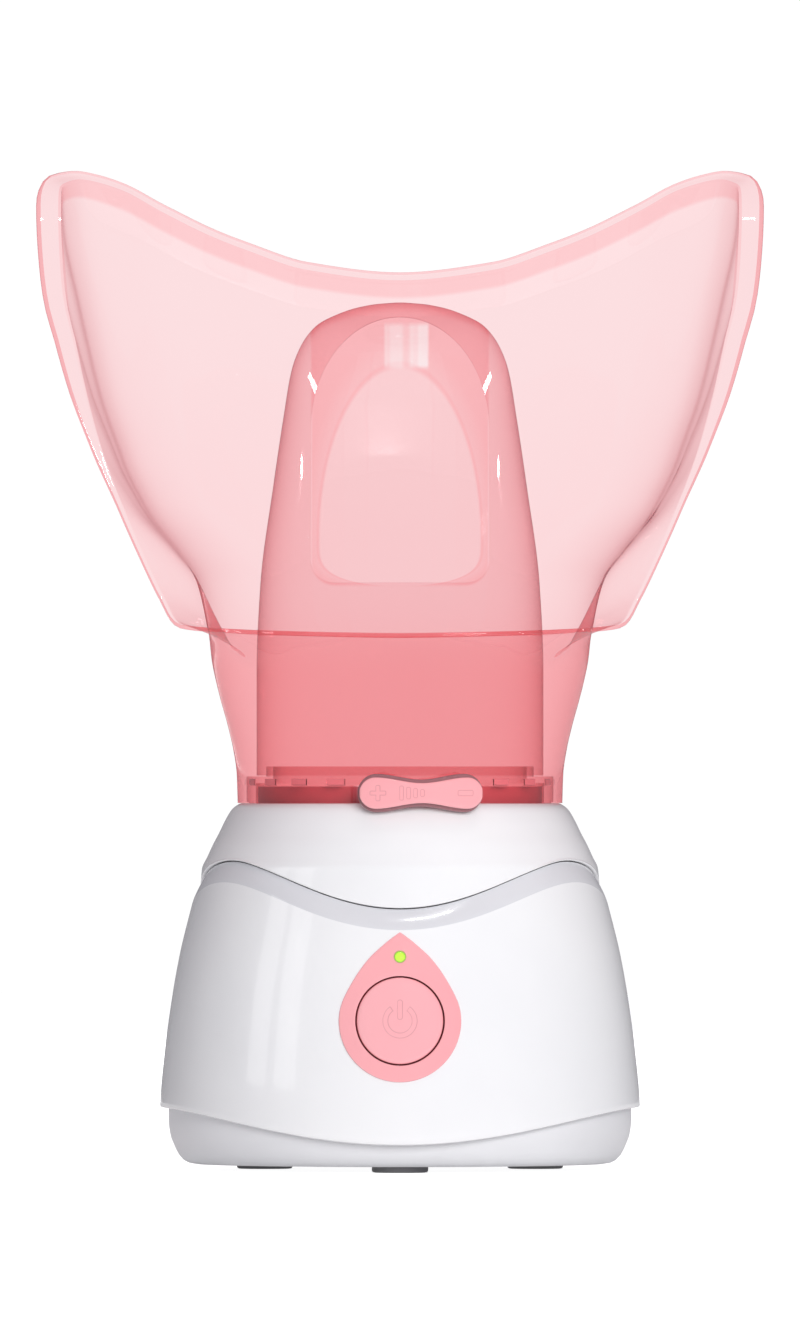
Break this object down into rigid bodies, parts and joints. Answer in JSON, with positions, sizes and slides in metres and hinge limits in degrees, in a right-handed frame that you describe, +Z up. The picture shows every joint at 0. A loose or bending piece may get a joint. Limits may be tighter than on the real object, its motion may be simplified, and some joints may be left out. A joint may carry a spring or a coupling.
{
  "type": "facial steamer",
  "caption": "Facial steamer: a flared translucent face mask and a domed steam hood on a round, wavy-topped base with a power button and a sliding steam regulator.",
  "frame": {"origin": "On the table, under the middle of the round base.", "axes": "+Z is up, -Y is the front with the power button and the open side of the mask, +X is the part's left-hand side as it faces the user (the right of a front view)."},
  "size_m": [0.2184, 0.1461, 0.3011],
  "materials": {
    "white_plastic": "gloss white ABS",
    "pan_plastic": "satin white ABS",
    "inner_plastic": "plain moulded white",
    "black_plastic": "plain moulded black",
    "pink_clear": "clear pink polycarbonate",
    "pink_deep": "tinted pink plastic",
    "pink_gloss": "gloss pink ABS",
    "pink_button": "gloss pink ABS",
    "knob_mauve": "satin mauve ABS",
    "green_lens": "lit green lens",
    "board_green": "solder-masked circuit board",
    "wire_sleeve": "silicone wire sleeve",
    "foot_rubber": "grey rubber",
    "silicone": "translucent silicone",
    "cup_aluminium": "drawn aluminium",
    "heater_metal": "cast aluminium",
    "screw_steel": "zinc-plated steel",
    "pin_brass": "bare brass"
  },
  "bodies": {
    "base": {"body_shell": "white_plastic", "bottom_pan": "pan_plastic", "foot_front": "foot_rubber", "foot_right": "foot_rubber", "foot_left": "foot_rubber", "case_screws": "screw_steel", "inner_deck": "inner_plastic", "deck_posts": "inner_plastic", "cup_gasket": "silicone", "water_cup": "cup_aluminium", "heater_plate": "heater_metal", "heater_clamp": "screw_steel", "heater_screws": "screw_steel", "thermostat": "inner_plastic", "thermal_fuse": "heater_metal", "control_bezel": "pink_gloss", "tact_switch": "black_plastic", "indicator_led": "green_lens", "control_board": "board_green", "board_bracket": "inner_plastic", "board_screws": "screw_steel", "power_inlet": "black_plastic", "inlet_pins": "pin_brass", "internal_wiring": "wire_sleeve"},
    "button": {"power_button": "pink_button", "switch_plunger": "inner_plastic"},
    "cover": {"top_cover": "white_plastic", "inner_cover": "inner_plastic", "cover_seal": "silicone", "splash_guard": "inner_plastic", "pivot_washer": "screw_steel", "pivot_screw": "screw_steel"},
    "regulator": {"regulator_shutter": "pink_deep", "regulator_knob": "knob_mauve", "knob_face": "pink_button"},
    "mask": {"face_mask": "pink_clear", "mask_ring": "pink_deep"},
    "hood": {"steam_hood": "pink_clear"}
  },
  "joints": [
    {"name": "press_button", "type": "slide", "parent": "base", "child": "button", "axis": [0, 1, 0], "range_m": [0, 0.001], "stiffness_N_per_m": 2500, "springref_m": -0.0004},
    {"name": "lift_cover", "type": "slide", "parent": "base", "child": "cover", "axis": [0, 0, 1], "range_m": [0, 0.04]},
    {"name": "turn_regulator", "type": "hinge", "parent": "cover", "child": "regulator", "pos_m": [0, 0, 0.1043], "axis": [0, 0, 1], "range_deg": [-18.85, 5.15]},
    {"name": "lift_mask", "type": "slide", "parent": "cover", "child": "mask", "axis": [0, 0, 1], "range_m": [0, 0.06]},
    {"name": "lift_hood", "type": "slide", "parent": "mask", "child": "hood", "axis": [0, 0, 1], "range_m": [0, 0.155]}
  ]
}
